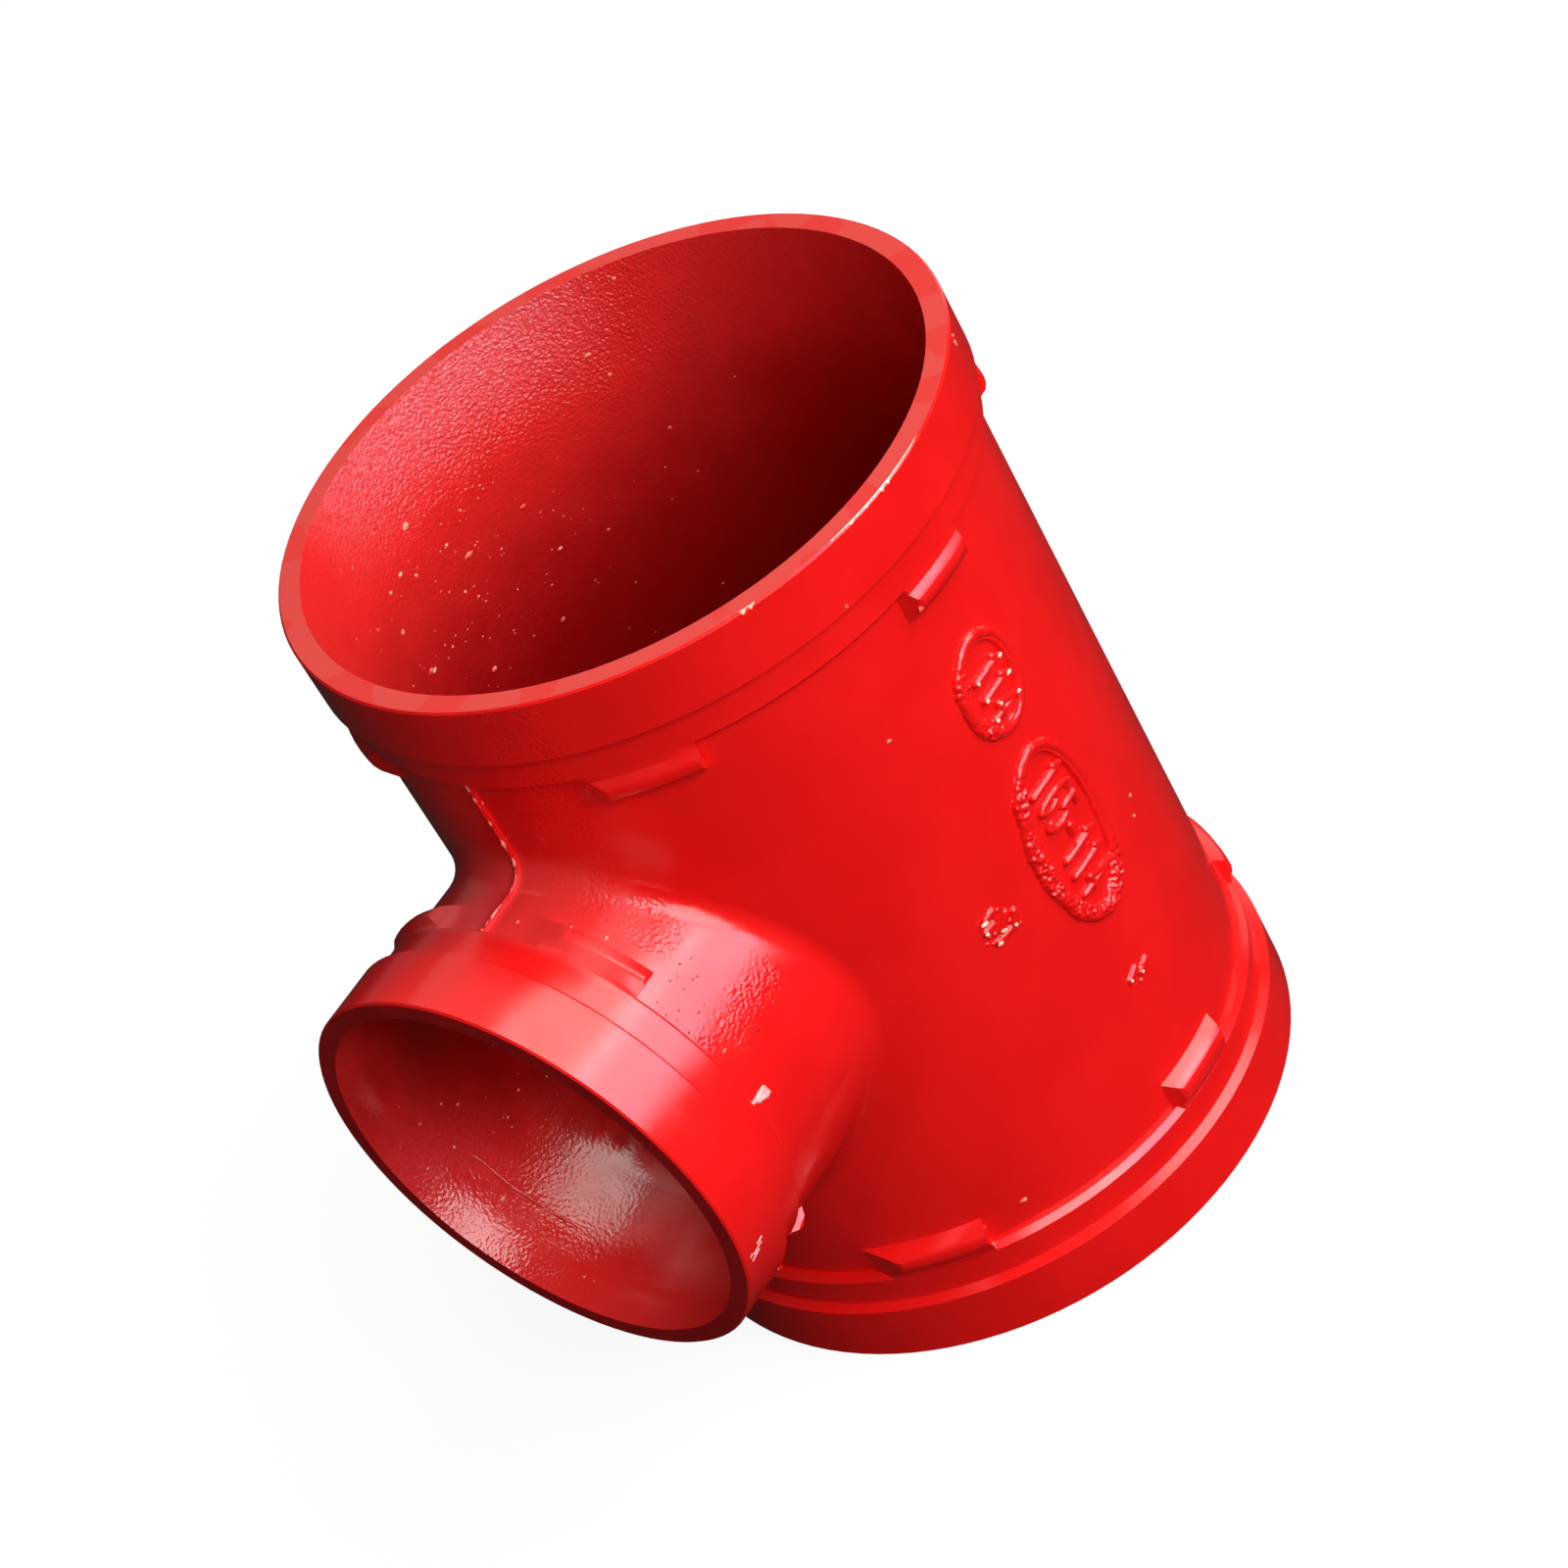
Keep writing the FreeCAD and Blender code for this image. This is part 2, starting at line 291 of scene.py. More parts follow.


# The inside is as-cast skin under the same dip of paint: coarse near the mouths where the core's sand burnt
# on, smooth elsewhere. Its colour carries painted light: a pale painted sheen near one side of the mouth, and
# painted shade deeper in and on the side that the lamps reach least.
def bore_finish(name, axis, coarse_way, painted_sheen_way, shade_way, deep_at, mouth_at, deep, mouth, painted_sheen_tone, **bumps):
    """Bore paint from its deep to its mouth colour; each way is (axis, share, share of Y, low, high)."""
    material, tree, shader, blend, group = painted(name, deep, mouth, 16 * mm, 0.16, 0.26, 0.62, **bumps)
    where = tree.nodes.new("ShaderNodeTexCoord")
    parts = tree.nodes.new("ShaderNodeSeparateXYZ")
    tree.links.new(where.outputs["Object"], parts.inputs["Vector"])
    depth = maths(tree, "ABSOLUTE", parts.outputs[axis], 0.0)

    def side(way, bottom, top):
        """From bottom to top across the bore, along the way that a direction leans."""
        leaning = maths(tree, "ADD", maths(tree, "MULTIPLY", parts.outputs[way[0]], way[1]),
                        maths(tree, "MULTIPLY", parts.outputs["Y"], way[2]))
        return ramp(tree, leaning, way[3], way[4], bottom, top)

    # Painted shade: the mouth colour gives way to the deep one deeper in and on the side the lamps reach
    # least.
    blotch = maths(tree, "MULTIPLY", grain(tree, 13 * mm, 3.0, 0.6), 26 * mm)
    shade = maths(tree, "ADD", blotch, side(shade_way, 0.0, -22 * mm))
    tree.links.new(ramp(tree, maths(tree, "ADD", depth, shade), deep_at, mouth_at), blend.inputs["Factor"])
    coarse = maths(tree, "MULTIPLY", side(coarse_way, 0.12, 1.0),
                   ramp(tree, depth, mouth_at - 45 * mm, mouth_at - 12 * mm, 0.25, 1.0))
    grain_height = group.inputs["Grain"].default_value
    tree.links.new(maths(tree, "MULTIPLY", coarse, grain_height), group.inputs["Grain"])
    # Painted sheen: a paler colour in a patch near the mouth, on one side, stands in for the lamps'
    # reflection.
    painted_sheen_zone = maths(tree, "MULTIPLY", side(painted_sheen_way, 0.0, 1.0),
                 ramp(tree, depth, mouth_at - 30 * mm, mouth_at))
    uneven = ramp(tree, grain(tree, 1.3 * mm, 3.0), -0.45, 0.45)
    painted_sheen_mix = mixed(tree, maths(tree, "MULTIPLY", painted_sheen_zone, uneven), blend.outputs[2], painted_sheen_tone)
    tree.links.new(painted_sheen_mix.outputs[2], shader.inputs["Base Color"])
    return material, tree, depth, group


# The deep colours are painted shade, and the pale third colours are a painted sheen.
run_skin = bore_finish(
    "run_bore_paint", "Z", coarse_way=("X", -0.34, -0.94, 44 * mm, 70 * mm),
    painted_sheen_way=("X", -0.21, -0.98, 56 * mm, 75 * mm), shade_way=("X", -0.97, 0.26, 25 * mm, 70 * mm),
    deep_at=18 * mm, mouth_at=110 * mm,
    deep=(0.29, 0.0024, 0.0026), mouth=(0.67, 0.018, 0.016), painted_sheen_tone=(0.72, 0.15, 0.16),
    Waves=0.3 * mm, Grain=0.60 * mm, Peel=0.04 * mm)[0]
branch_skin, tree, depth, group = bore_finish(
    "branch_bore_paint", "X", coarse_way=("Z", -0.60, -0.80, 34 * mm, 49 * mm),
    painted_sheen_way=("Z", -0.50, -0.87, 44 * mm, 51 * mm), shade_way=("Z", 0.30, -0.95, 25 * mm, 48 * mm),
    deep_at=62 * mm, mouth_at=118 * mm,
    deep=(0.22, 0.0022, 0.0026), mouth=(0.68, 0.017, 0.015), painted_sheen_tone=(0.70, 0.03, 0.035),
    Waves=0.4 * mm, Grain=0.17 * mm, Peel=0.03 * mm)
# The branch's bore is shaded as slightly hollow halfway in, where the core was rubbed down, and as rolled at
# the rim.
bump = next(node for node in tree.nodes if node.type == "BUMP")
hollow = maths(tree, "ADD", ramp(tree, depth, 60 * mm, 87 * mm, 0.0, 4.8 * mm),
               ramp(tree, depth, 86 * mm, 107 * mm, 0.0, 2.0 * mm))
rolled = maths(tree, "ADD", hollow, ramp(tree, depth, 110 * mm, 134 * mm, 0.0, -4.4 * mm))
tree.links.new(maths(tree, "ADD", group.outputs["Height"], rolled), bump.inputs["Height"])

# The flat faces of the rims were wiped, so their paint is duller. The upper rim's is also paler, which is a
# painted sheen, and the branch's is darker, which is painted shade.
rim_painted_sheen, tree, _, blend, _ = painted(
    "rim_painted_sheen", (0.63, 0.045, 0.034), (0.65, 0.026, 0.019), 13 * mm, 0.34, 0.42, 0.5,
    Waves=0.05 * mm, Grain=0.03 * mm, Peel=0.0)
tree.links.new(ramp(tree, grain(tree, 15 * mm, 1.0), 0.05, 0.065), blend.inputs["Factor"])
# The branch rim's darker colour is painted shade.
branch_rim_painted_shade = painted(
    "branch_rim_painted_shade", (0.40, 0.0040, 0.0050), (0.48, 0.0060, 0.0070), 13 * mm, 0.34, 0.42, 0.4,
    Waves=0.05 * mm, Grain=0.03 * mm, Peel=0.0)[0]

skins = [enamel, run_skin, branch_skin, rim_painted_sheen, branch_rim_painted_shade]
casting.data.materials.clear()
for material in skins:
    casting.data.materials.append(material)
for face in casting.data.polygons:
    middle = face.center
    run_distance = math.hypot(middle.x, middle.y)
    branch_distance = math.hypot(middle.y, middle.z)
    if middle.x > 55 * mm and branch_distance < branch_mouth + 0.75 * mm:
        face.material_index = skins.index(branch_skin)
    elif run_distance < run_mouth + 0.25 * mm:
        face.material_index = skins.index(run_skin)
    if abs(middle.z) > run_half_length - 0.1 * mm and abs(face.normal.z) > 0.9:
        face.material_index = skins.index(rim_painted_sheen)
    elif middle.x > branch_reach - 0.1 * mm and face.normal.x > 0.9:
        face.material_index = skins.index(branch_rim_painted_shade)

# The foundry's marks stand in two upright oval frames on the flank, cut by hand in the pattern and so
# rounded and crumbly in the iron. Plain pipe sizes stand in them here, each digit as lines in a unit box.
digit_lines = {
    "1": [[(0.30, 0.0), (0.30, 1.0), (0.10, 0.80)]],
    "6": [[(0.56, 0.95), (0.36, 1.0), (0.18, 0.84), (0.07, 0.58), (0.05, 0.32), (0.14, 0.08), (0.30, 0.0),
           (0.47, 0.08), (0.55, 0.28), (0.48, 0.48), (0.31, 0.56), (0.14, 0.48), (0.06, 0.34)]],
    "5": [[(0.54, 1.0), (0.12, 1.0), (0.09, 0.56), (0.28, 0.62), (0.46, 0.54), (0.55, 0.34), (0.49, 0.12),
           (0.30, 0.0), (0.06, 0.08)]],
    "4": [[(0.42, 0.0), (0.42, 1.0), (0.02, 0.32), (0.58, 0.32)]],
    "-": [[(0.08, 0.48), (0.52, 0.48)]],
}


def strokes(text, tall, pitch, wide, centre_across, centre_along):
    """Line pieces of plain numerals that read towards -Z with their tops towards the far side."""
    pieces = []
    start = -0.5 * (pitch * (len(text) - 1) + wide)
    for place, digit in enumerate(text):
        for line in digit_lines[digit]:
            spots = [(centre_across + (v - 0.5) * tall,
                      centre_along - (start + place * pitch + u / 0.6 * wide)) for u, v in line]
            pieces += list(zip(spots[:-1], spots[1:]))
    return pieces


def gap_to(piece, across, along):
    """Distance from a place on the patch to one line piece."""
    (a0, b0), (a1, b1) = piece
    run_a, run_b = a1 - a0, b1 - b0
    share = ((across - a0) * run_a + (along - b0) * run_b) / (run_a * run_a + run_b * run_b)
    share = min(1.0, max(0.0, share))
    return math.hypot(across - a0 - share * run_a, along - b0 - share * run_b)


def near(across, along, spot_across, spot_along, spread):
    """One at a spot, falling to nought about a spread away."""
    return math.exp(-((across - spot_across) ** 2 + (along - spot_along) ** 2) / (spread * spread))


def lumps(across, along, size, seed):
    """Rounded lumps of about this size, between nought and one."""
    gaps = noise.voronoi(Vector((across / size, along / size, seed)))[0]
    return max(0.0, 1.0 - (gaps[0] / 0.42) ** 2)


def ripple(across, along, size, seed):
    """Smooth noise of about this size, between minus one and one."""
    return noise.noise(Vector((across / size, along / size, seed)))


def on_body(bearing, level, across, along, lift):
    """A place on the run's outside: across goes round it, along goes up it."""
    turn = bearing + across / body_radius
    reach = body_radius + lift
    return Vector((reach * math.cos(turn), reach * math.sin(turn), level + along))


sunk = 0.2 * mm


def raised_patch(name, wrap, bearing, level, width, length, cell, lift_at, material):
    """A cast mark: a flat grid whose points are lifted and wrapped round the part, with its edge sunk in."""
    bpy.ops.object.select_all(action="DESELECT")
    bpy.ops.mesh.primitive_grid_add(x_subdivisions=round(width / cell), y_subdivisions=round(length / cell),
                                    size=1.0)
    patch = bpy.context.object
    patch.name = name
    below = []
    for point in patch.data.vertices:
        across = point.co.x * width
        along = point.co.y * length
        lift = max(lift_at(across, along), -sunk)
        below.append(lift < -0.95 * sunk)
        point.co = wrap(bearing, level, across, along, lift)
    bpy.ops.object.mode_set(mode="EDIT")
    bpy.ops.mesh.select_mode(type="FACE")
    bpy.ops.mesh.select_all(action="DESELECT")
    bpy.ops.object.mode_set(mode="OBJECT")
    for face in patch.data.polygons:
        face.select = all(below[corner] for corner in face.vertices)
    bpy.ops.object.mode_set(mode="EDIT")
    bpy.ops.mesh.delete(type="FACE")
    bpy.ops.object.mode_set(mode="OBJECT")
    apply_modifier(patch, "SOLIDIFY", thickness=0.5 * mm, offset=-1.0)
    bpy.ops.object.shade_smooth()
    patch.data.materials.append(material)
    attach(patch, "root")


bead_height = 1.45 * mm
bead_reach = 1.5 * mm
stroke_height = 1.5 * mm
stroke_reach = 1.08 * mm


def oval_mark(across, along, half_width, half_length, numerals, crumbling, seed):
    """Lift of an oval bead with its numerals; crumbling says where and how far the bead breaks up."""
    ratio = math.hypot(across / half_width, along / half_length)
    slope = math.hypot(across / half_width ** 2, along / half_length ** 2)
    off = ratio * (ratio - 1.0) / max(slope, 1.0)
    rough = min(1.0, sum(near(across, along, *spot) for spot in crumbling))
    off += 0.25 * mm * ripple(across, along, 4 * mm, seed)
    reach = bead_reach * (1.0 + 0.15 * ripple(across, along, 3 * mm, seed + 5) + 0.8 * rough)
    bead = bead_height * max(0.0, 1.0 - (off / reach) ** 2) ** 0.55 - sunk * (abs(off) > reach)
    bead += 0.10 * mm * ripple(across, along, 1.1 * mm, seed + 9) * (bead > 0.0)
    if rough > 0.05:
        bits = rough * lumps(across, along, 1.9 * mm, seed) * max(0.0, 1.0 - abs(off) / (3.6 * mm))
        broken = 0.9 * mm * ripple(across, along, 1.5 * mm, seed + 2)
        broken += 0.5 * mm * ripple(across, along, 0.8 * mm, seed)
        bead = max(bead + rough * broken * (bead > 0.0), 1.9 * mm * bits - sunk)
    closest = min(gap_to(piece, across, along) for piece in numerals)
    thick = stroke_reach * (1.0 + 0.18 * ripple(across, along, 2.5 * mm, seed + 3))
    stroke = stroke_height * max(0.0, 1.0 - (closest / thick) ** 2) ** 0.55 - sunk * (closest > thick)
    return max(bead, stroke)


small_numerals = strokes("114", 9.2 * mm, 5.2 * mm, 3.6 * mm, 0.4 * mm, -1.8 * mm)
small_crumbling = [(-7.5 * mm, 6 * mm, 3.5 * mm), (-7 * mm, -8 * mm, 4.5 * mm)]
small_place = (math.radians(90), 46.7 * mm)


def small_mark(across, along):
    """Lift of the small oval."""
    return oval_mark(across, along, 9.2 * mm, 12.6 * mm, small_numerals, small_crumbling, 3.0)


raised_patch("small_oval", on_body, *small_place, 25 * mm, 32 * mm, 0.24 * mm, small_mark, enamel)

large_numerals = strokes("165-114", 11.4 * mm, 5.1 * mm, 3.3 * mm, 0.5 * mm, 0.0)
large_crumbling = [(-8 * mm, 17 * mm, 5 * mm), (-11 * mm, 5 * mm, 5 * mm), (-10.5 * mm, -5 * mm, 6.5 * mm),
                   (-7 * mm, -18 * mm, 5.5 * mm), (2 * mm, -24 * mm, 5 * mm), (7.5 * mm, -19 * mm, 5 * mm)]


def large_mark(across, along):
    """Lift of the large oval."""
    return oval_mark(across, along, 11.7 * mm, 24.9 * mm, large_numerals, large_crumbling, 11.0)


raised_patch("large_oval", on_body, math.radians(90), 0.0, 31 * mm, 57 * mm, 0.25 * mm, large_mark,
             enamel)

# Below the frames the pattern had two loose plugs, and iron ran in behind them. It left two rough scabs, a
# wide one and a slim one, which nobody ground off.
wide_place = (math.radians(70), -3.7 * mm)
slim_place = (math.radians(89), -46 * mm)
wide_bars = [((-3.6 * mm, 3.4 * mm), (-0.6 * mm, 4.4 * mm)), ((-4.2 * mm, 0.6 * mm), (-1.8 * mm, 1.2 * mm)),
             ((-0.4 * mm, -1.6 * mm), (2.2 * mm, 1.6 * mm)), ((-2.6 * mm, -3.8 * mm), (1.2 * mm, -3.2 * mm)),
             ((2.8 * mm, -2.6 * mm), (4.2 * mm, 0.2 * mm))]
slim_bars = [((-3.8 * mm, 0.8 * mm), (-0.8 * mm, 1.9 * mm)), ((0.2 * mm, -0.4 * mm), (3.4 * mm, 0.8 * mm))]
bar_height = 0.85 * mm
bar_reach = 1.05 * mm
pebble_height = 0.75 * mm


def scab(across, along, bars, half_width, half_length, seed):
    """Lift of a rough scab: thick bars and lumps inside an uneven outline."""
    outline = 1.0 - math.hypot(across / half_width, along / half_length)
    outline += 0.28 * ripple(across, along, 3 * mm, seed)
    if outline < 0.0:
        return -sunk
    closest = min(gap_to(piece, across, along) for piece in bars)
    bar = bar_height * max(0.0, 1.0 - (closest / bar_reach) ** 2) ** 0.6 - sunk * (closest > bar_reach)
    pebble = pebble_height * lumps(across, along, 1.7 * mm, seed + 1) * min(1.0, outline * 3.0) - 0.12 * mm
    return max(bar, pebble) + 0.08 * mm * ripple(across, along, 0.9 * mm, seed + 2)


def wide_mark(across, along):
    """Lift of the wide scab."""
    return scab(across, along, wide_bars, 6.4 * mm, 6.0 * mm, 21.0)


def slim_mark(across, along):
    """Lift of the slim scab."""
    return scab(across, along, slim_bars, 5.8 * mm, 3.2 * mm, 27.0)


raised_patch("wide_scab", on_body, *wide_place, 15 * mm, 15 * mm, 0.24 * mm, wide_mark, enamel)
raised_patch("slim_scab", on_body, *slim_place, 14 * mm, 9 * mm, 0.24 * mm, slim_mark, enamel)

# The two halves of the mould meet on the plane of both axes. Metal crept between them and left a thin,
# jagged flash along the crotches and down the back, only knocked off and painted over.
# The pale patches along the flash are painted highlights on its red paint.
flash_highlight_paint, tree, _, blend, _ = painted(
    "flash_highlight_paint", (0.70, 0.007, 0.006), (0.88, 0.30, 0.24), 2.4 * mm, 0.25, 0.35, 0.5,
    Waves=0.0, Grain=0.06 * mm, Peel=0.0)
tree.links.new(ramp(tree, grain(tree, 3.0 * mm, 2.0), 0.0, 0.11), blend.inputs["Factor"])


def flash_line(name, route, wide, high, seed):
    """A jagged ridge in the plane y = 0 along a route of (x, z) places, each with its outward direction."""
    lengths = [0.0]
    for (x0, z0, _, _), (x1, z1, _, _) in zip(route[:-1], route[1:]):
        lengths.append(lengths[-1] + math.hypot(x1 - x0, z1 - z0))
    total = lengths[-1]

    def on_seam(bearing, level, across, along, lift):
        """A place on the route, which starts at minus half its length; it has no bearing or level."""
        done = along + total / 2
        part = max(i for i, length in enumerate(lengths[:-1]) if length <= done + 1e-9)
        share = (done - lengths[part]) / (lengths[part + 1] - lengths[part])
        x, z, out_x, out_z = [a + (b - a) * share for a, b in zip(route[part], route[part + 1])]
        return Vector((x + out_x * lift, -across, z + out_z * lift))

    def ridge(across, along):
        """Lift of the ridge, which wanders and changes in width and height."""
        off = across - 0.22 * mm * ripple(0.0, along, 3 * mm, seed)
        reach = wide * (1.0 + 0.35 * ripple(0.0, along, 1.6 * mm, seed + 4))
        crest = high * (1.0 + 0.35 * ripple(0.0, along, 1.3 * mm, seed + 7))
        crest += 0.5 * mm * max(0.0, ripple(0.0, along, 2.2 * mm, seed + 11) - 0.25)
        return crest * max(0.0, 1.0 - (off / reach) ** 2) ** 0.6 - sunk * (abs(off) > reach)

    raised_patch(name, on_seam, 0.0, 0.0, wide * 3.2, total, 0.22 * mm, ridge, flash_highlight_paint)


neck_radius = 53.7 * mm
neck_fillet = 7 * mm
fillet_steps = 8
body_end = 84 * mm
neck_end = 96 * mm


def crotch_route(side):
    """From the run's groove step, round the crotch and out along the neck; side is 1 above, -1 below."""
    foot = neck_radius + neck_fillet
    route = [(body_radius, side * body_end, 1.0, 0.0), (body_radius, side * foot, 1.0, 0.0)]
    for step in range(1, fillet_steps + 1):
        turn = math.radians(step * 90 / fillet_steps)
        route.append((body_radius + neck_fillet * (1 - math.cos(turn)),
                      side * (foot - neck_fillet * math.sin(turn)), math.cos(turn), side * math.sin(turn)))
    route.append((neck_end, side * neck_radius, 0.0, float(side)))
    return route


flash_line("upper_flash", crotch_route(1), 0.50 * mm, 1.30 * mm, 31.0)
flash_line("lower_flash", crotch_route(-1)[::-1], 0.50 * mm, 1.30 * mm, 37.0)
flash_line("back_flash", [(-body_radius, body_end, -1.0, 0.0), (-body_radius, -body_end, -1.0, 0.0)],
           0.50 * mm, 1.2 * mm, 41.0)

# A flake of paint has lifted on the neck beside the groove, and shows the pale undercoat. Its outline is a
# torn five-sided one, in millimetres.
flake_paint = painted(
    "flake_paint", (0.86, 0.30, 0.30), (0.90, 0.55, 0.50), 1.6 * mm, 0.35, 0.5, 0.5,
    Waves=0.0, Grain=0.15 * mm, Peel=0.0)[0]
flake_edge = [(0.9, 3.6), (1.1, -2.9), (-1.6, -3.4), (-2.2, -1.6), (-0.9, 0.9)]


def on_neck(bearing, level, across, along, lift):
    """A place on the branch's outside: across goes round it, along goes out along it."""
    turn = bearing + across / neck_radius
    reach = neck_radius + lift
    return Vector((level + along, reach * math.cos(turn), reach * math.sin(turn)))


def flake(across, along):
    """Lift of the torn flake, thickest at its free end."""
    inside = math.inf
    for (a0, b0), (a1, b1) in zip(flake_edge, flake_edge[1:] + flake_edge[:1]):
        run_a, run_b = (a1 - a0) * mm, (b1 - b0) * mm
        side = (run_b * (across - a0 * mm) - run_a * (along - b0 * mm)) / math.hypot(run_a, run_b)
        inside = min(inside, side)
    inside += 0.25 * mm * ripple(across, along, 1.2 * mm, 51.0)
    if inside < 0.0:
        return -sunk
    return min(0.45 * mm, 0.1 * mm + inside) + 0.2 * mm * ripple(across, along, 1.5 * mm, 53.0)


raised_patch("neck_flake", on_neck, math.radians(8.4), 93.2 * mm, 6 * mm, 9 * mm, 0.2 * mm, flake,
             flake_paint)

# Grains of sand and spatter stuck to the iron before it was painted. They stand up as nibs, many in the
# bores and a few outside, and the pale patches of their paint are painted glints.
nib_glint_paint = painted(
    "nib_glint_paint", (0.74, 0.02, 0.014), (0.90, 0.38, 0.24), 2.6 * mm, 0.25, 0.4, 0.5,
    Waves=0.0, Grain=0.0, Peel=0.0)[0]
mouth_length = 33.6 * mm


def bore_radius(level):
    """Radius of the run's inside at this height."""
    inward = min(1.0, (run_half_length - abs(level)) / mouth_length)
    return run_mouth - (run_mouth - run_bore) * inward


def branch_bore_radius(out):
    """Radius of the branch's inside this far out."""
    inward = min(1.0, (branch_reach - out) / mouth_length)
    return branch_mouth - (branch_mouth - branch_bore) * inward


def sown_nibs(name, spots, material):
    """One nib copied to every (place, outward direction, radius), each out of round, then joined."""
    chance = random.Random(len(spots))
    bpy.ops.object.select_all(action="DESELECT")
    bpy.ops.mesh.primitive_ico_sphere_add(subdivisions=2, radius=1.0)
    pattern = bpy.context.object
    copies = []
    for place, outward, radius in spots:
        nib = pattern.copy()
        nib.data = pattern.data.copy()
        bpy.context.collection.objects.link(nib)
        tilt = outward.to_track_quat("Z", "Y").to_matrix()
        long = chance.uniform(0.7, 2.2)
        shift = chance.uniform(0, 50)
        for point in nib.data.vertices:
            lump = 1.0 + 0.5 * noise.noise(point.co * 1.3 + Vector((shift, 0, 0)))
            shape = Vector((point.co.x * long, point.co.y, point.co.z * 0.65))
            point.co = place + tilt @ shape * radius * lump
        copies.append(nib)
    bpy.data.objects.remove(pattern)
    bpy.ops.object.select_all(action="DESELECT")
    for nib in copies:
        nib.select_set(True)
    bpy.context.view_layer.objects.active = copies[0]
    bpy.ops.object.join()
    nibs = bpy.context.object
    nibs.name = name
    bpy.ops.object.shade_smooth()
    nibs.data.materials.append(material)
    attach(nibs, "root")


def in_run(bearing, level, radius):
    """A nib on the run's inside, at a bearing in degrees and a level in millimetres."""
    turn = math.radians(bearing)
    outward = Vector((-math.cos(turn), -math.sin(turn), 0.15)).normalized()
    reach = bore_radius(level * mm)
    return Vector((math.cos(turn) * reach, math.sin(turn) * reach, level * mm)), outward, radius * mm


def in_branch(bearing, out, radius):
    """A nib on the branch's inside, at a bearing in degrees and a distance out in millimetres."""
    turn = math.radians(bearing)
    outward = Vector((0.0, -math.cos(turn), -math.sin(turn)))
    reach = branch_bore_radius(out * mm)
    return Vector((out * mm, math.cos(turn) * reach, math.sin(turn) * reach)), outward, radius * mm


dice = random.Random(7)
run_spots = [in_run(*spot) for spot in (
    (275, 86, 1.0), (267, 67, 0.75), (227, 90, 0.5), (216, 105, 0.5), (220, 63, 0.45), (295, 96, 0.5),
    (283, 80, 0.5), (280, 76, 0.55), (298, 80, 0.45), (292, 72, 0.6), (282, 55, 0.45), (276, 40, 0.6),
    (290, 57, 0.5), (288, 80, 0.45), (272, 61, 0.4), (270, 57, 0.35), (277, 67, 0.4), (257, 34, 0.5),
    (252, 66, 0.5), (270, 74, 0.4), (225, 83, 0.45), (240, 46, 0.4), (250, 50, 0.4), (291, 58, 0.6))]
run_spots += [in_run(dice.gauss(264, 20), dice.gauss(66, 20), dice.uniform(0.09, 0.23)) for _ in range(150)]
run_spots = [spot for spot in run_spots if spot[0].z < 107 * mm]
sown_nibs("run_nibs", run_spots, nib_glint_paint)
branch_spots = [in_branch(*spot) for spot in (
    (201, 106, 0.36), (215, 110, 0.36), (194, 98, 0.3), (190, 101, 0.26), (220, 108, 0.36),
    (250, 114, 0.34), (221, 98, 0.3), (199, 114, 0.3), (245, 82, 0.3))]
branch_spots += [in_branch(dice.gauss(222, 22), dice.uniform(76, 118), dice.uniform(0.09, 0.20))
                 for _ in range(70)]
sown_nibs("branch_nibs", branch_spots, nib_glint_paint)
outer_spots = []
for bearing, level, radius, lift in (
        (50, -76, 0.6, 0.1), (68.5, 56, 0.45, 0.1), (108.5, -15, 0.4, 0.1), (106.5, -19, 0.4, 0.1),
        (16, -20, 0.7, 0.1), (43, -85, 0.6, 0.8), (42, -77, 0.5, 1.5), (83, 78.5, 0.6, 3.4),
        (88, 76.5, 0.5, 1.6), (72, 94, 0.5, 4.5), (123, 107, 0.5, 4.5), (122.5, 106, 0.45, 4.5),
        (122.5, 105, 0.35, 4.5)):
    spot = on_body(math.radians(bearing), level * mm, 0.0, 0.0, lift * mm)
    outer_spots.append((spot, Vector((spot.x, spot.y, 0.0)).normalized(), radius * mm))
for bearing, out, radius in ((27, 85.5, 0.5), (61, 86.5, 0.4), (70, 88, 0.4), (23, 92, 0.4), (83, 91, 0.4),
                             (21, 88, 0.35)):
    spot = on_neck(math.radians(bearing), out * mm, 0.0, 0.0, 0.1 * mm)
    outer_spots.append((spot, Vector((0.0, spot.y, spot.z)).normalized(), radius * mm))
sown_nibs("outer_nibs", outer_spots, nib_glint_paint)

# Small pale spots on the proud tips of the small oval's numerals and of the scabs are painted glints.
glint_paint = painted(
    "glint_paint", (0.90, 0.42, 0.25), (0.95, 0.74, 0.52), 1.6 * mm, 0.25, 0.35, 0.5,
    Waves=0.0, Grain=0.0, Peel=0.0)[0]
glint_spots = []
for pieces, place, mark in ((small_numerals, small_place, small_mark), (wide_bars, wide_place, wide_mark),
                            (slim_bars, slim_place, slim_mark)):
    for (across, along), _ in pieces:
        spot = on_body(*place, across, along, max(0.0, mark(across, along)))
        glint_spots.append((spot, Vector((spot.x, spot.y, 0.0)).normalized(), 0.5 * mm))
sown_nibs("painted_glints", glint_spots, glint_paint)

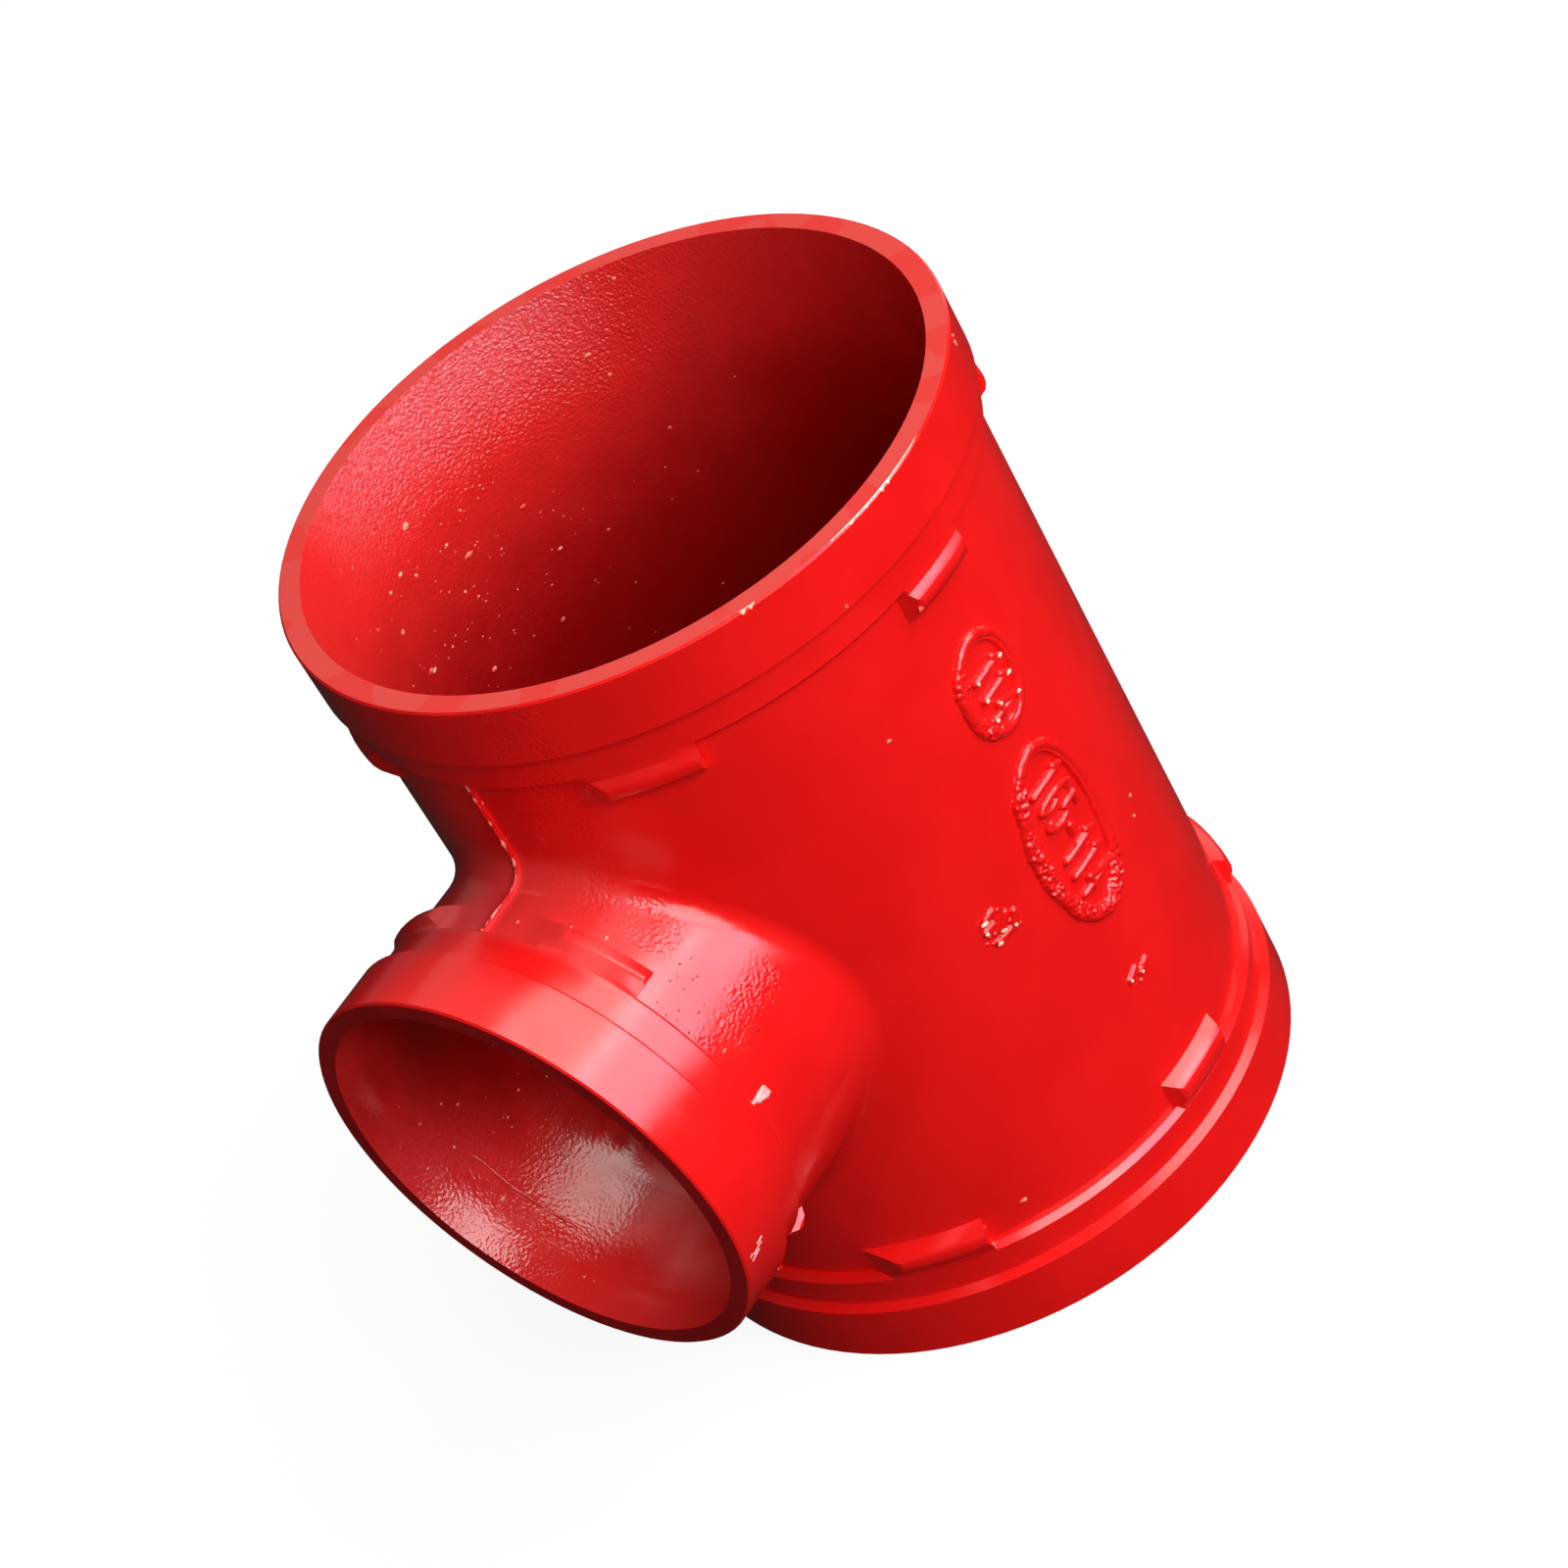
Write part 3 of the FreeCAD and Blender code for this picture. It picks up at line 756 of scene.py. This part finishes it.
# Dust fell into the wet paint of the neck and left tiny pits on its upper side. The shade in each is painted,
# as a dark grain that lies almost level with the paint.
pit_shade_paint = bpy.data.materials.new("pit_shade_paint")
pit_shade_paint.use_nodes = True
tree = pit_shade_paint.node_tree
pit_shade_tone = mixed(tree, ramp(tree, grain(tree, 3 * mm), -0.1, 0.1), (0.10, 0.003, 0.004), (0.28, 0.006, 0.006))
tree.links.new(pit_shade_tone.outputs[2], tree.nodes["Principled BSDF"].inputs["Base Color"])
tree.nodes["Principled BSDF"].inputs["Roughness"].default_value = 0.5
pit_spots = []
for _ in range(26):
    spot = on_neck(math.radians(dice.gauss(40, 10)), dice.uniform(79, 95) * mm, 0.0, 0.0, -0.02 * mm)
    pit_spots.append((spot, Vector((0.0, spot.y, spot.z)).normalized(), dice.uniform(0.10, 0.26) * mm))
sown_nibs("neck_pits", pit_spots, pit_shade_paint)

# A knock on the branch's land has scratched the paint in short strokes. It curled up along them and shows
# the undercoat, as the flake does.
land_radius = 57.15 * mm


def on_land(bearing, level, across, along, lift):
    """A place on the branch's land: across goes round it, along goes out along it."""
    turn = bearing + across / land_radius
    reach = land_radius + lift
    return Vector((level + along, reach * math.cos(turn), reach * math.sin(turn)))


scuffs = [((-1.9 * mm, 2.2 * mm), (-1.1 * mm, -0.4 * mm)), ((-0.6 * mm, 1.2 * mm), (0.1 * mm, -1.8 * mm)),
          ((0.9 * mm, -0.6 * mm), (1.3 * mm, -2.3 * mm)), ((-0.2 * mm, 2.6 * mm), (0.1 * mm, 1.9 * mm))]


def scuff(across, along):
    """Lift of the curled paint beside each scratch."""
    closest = min(gap_to(piece, across, along) for piece in scuffs)
    reach = 0.26 * mm * (1.0 + 0.4 * ripple(across, along, 0.8 * mm, 71.0))
    return 0.12 * mm if closest <= reach else -sunk


raised_patch("land_scuff", on_land, math.radians(-16.5), 115.8 * mm, 6 * mm, 7 * mm, 0.16 * mm, scuff,
             flake_paint)


# The sand core of the branch had a joint where its mouth begins. Iron crept in and left a fine ridge on the
# inside, which the paint covers.
def in_mouth(bearing, level, across, along, lift):
    """A place on the branch's mouth: across goes round it backwards, so that the patch faces inwards."""
    reach = branch_bore_radius(level + along) - lift
    turn = bearing - across / reach
    return Vector((level + along, reach * math.cos(turn), reach * math.sin(turn)))


def core_ridge(across, along):
    """Lift of the fine ridge, which comes and goes."""
    off = along - 0.5 * mm * ripple(across, 0.0, 9 * mm, 61.0)
    reach = 0.55 * mm * (1.0 + 0.4 * ripple(across, 0.0, 3 * mm, 63.0))
    high = 0.5 * mm * (0.8 + 0.8 * ripple(across, 0.0, 5 * mm, 67.0)) * min(1.0, 4.0 - abs(across) / (4 * mm))
    return high * max(0.0, 1.0 - (off / reach) ** 2) - sunk * (abs(off) > reach)


raised_patch("core_ridge", in_mouth, math.radians(224), 103.9 * mm, 40 * mm, 4 * mm, 0.25 * mm, core_ridge,
             branch_skin)

# The floor is a pale sheet of paper. It looks white and keeps the tee's soft shadow, and it throws little
# light back up, as in the darker room that the enamel mirrors.
bpy.ops.object.select_all(action="DESELECT")
bpy.ops.mesh.primitive_plane_add(size=8.0, location=(0, 0, -run_half_length))
floor = bpy.context.object
floor.name = "floor"


def seen_share(tree, in_gloss):
    """How far a ray sees the white background: all of it to the eye and through glass, a little in gloss."""
    path = tree.nodes.new("ShaderNodeLightPath")
    gloss = maths(tree, "MULTIPLY", path.outputs["Is Glossy Ray"], in_gloss)
    direct = maths(tree, "MAXIMUM", path.outputs["Is Camera Ray"], path.outputs["Is Transmission Ray"])
    return maths(tree, "MAXIMUM", direct, gloss)


paper = bpy.data.materials.new("paper")
paper.use_nodes = True
tree = paper.node_tree
tree.nodes.clear()
surface = tree.nodes.new("ShaderNodeOutputMaterial")
dull = add(tree, "ShaderNodeBsdfDiffuse", Color=(0.012, 0.012, 0.012, 1))
white = add(tree, "ShaderNodeEmission", Strength=0.88)
lit = add(tree, "ShaderNodeBsdfDiffuse", Color=(0.16, 0.16, 0.16, 1))
pale = tree.nodes.new("ShaderNodeAddShader")
tree.links.new(white.outputs[0], pale.inputs[0])
tree.links.new(lit.outputs[0], pale.inputs[1])
either = tree.nodes.new("ShaderNodeMixShader")
tree.links.new(seen_share(tree, 0.012), either.inputs[0])
tree.links.new(dull.outputs[0], either.inputs[1])
tree.links.new(pale.outputs[0], either.inputs[2])
tree.links.new(either.outputs[0], surface.inputs["Surface"])
floor.data.materials.append(paper)


# The light is one wide window over the marked flank, brighter in its middle, with a lit wall beside it and a
# ceiling above. Weaker boxes stand for the far ceiling, the far wall, a low band of back wall and the near
# wall of a dim room.
def softbox(name, azimuth, elevation, distance, width, height, radiance, colour):
    """Rectangular lamp that faces the origin from this direction."""
    turn = math.radians(azimuth)
    rise = math.radians(elevation)
    aim = Vector((math.cos(turn) * math.cos(rise), math.sin(turn) * math.cos(rise), math.sin(rise)))
    bpy.ops.object.select_all(action="DESELECT")
    bpy.ops.object.light_add(type="AREA", location=aim * distance)
    lamp = bpy.context.object
    lamp.name = name
    lamp.rotation_euler = aim.to_track_quat("Z", "Y").to_euler()
    lamp.data.shape = "RECTANGLE"
    lamp.data.size = width
    lamp.data.size_y = height
    lamp.data.energy = radiance * math.pi * width * height
    lamp.data.color = colour


softbox("window", 108, 31, 1.9, 1.67, 1.40, 2.5, (0.93, 0.96, 1.15))
softbox("window_middle", 107, 32, 1.85, 1.23, 1.02, 2.95, (0.93, 0.96, 1.15))
softbox("wall", 65, 34, 2.0, 1.15, 1.23, 6.4, (1.04, 1.0, 1.0))
softbox("ceiling", 148, 56, 1.9, 1.46, 1.17, 4.5, (0.93, 0.97, 0.90))
softbox("far_ceiling", 222, 58, 1.4, 1.5, 1.1, 0.65, (1.0, 0.95, 0.95))
softbox("far_wall", 240, 17, 1.5, 1.5, 0.7, 0.12, (1.0, 0.95, 0.95))
softbox("back_wall", 188, 5, 1.6, 1.3, 0.40, 0.85, (0.85, 1.0, 0.97))
softbox("near_wall", 14, 36, 1.4, 0.8, 0.9, 0.08, (1.0, 0.95, 0.95))

world = bpy.data.worlds.new("room")
bpy.context.scene.world = world
world.use_nodes = True
tree = world.node_tree
dimmed = tree.nodes.new("ShaderNodeLightPath")
room_light = maths(tree, "MULTIPLY", maths(tree, "SUBTRACT", 1.0, dimmed.outputs["Is Glossy Ray"]), 0.022)
background = tree.nodes["Background"]
background.inputs["Color"].default_value = (1.0, 1.0, 1.0, 1.0)
tree.links.new(maths(tree, "MAXIMUM", seen_share(tree, 0.04), room_light), background.inputs["Strength"])

bpy.context.scene.view_settings.view_transform = "Standard"
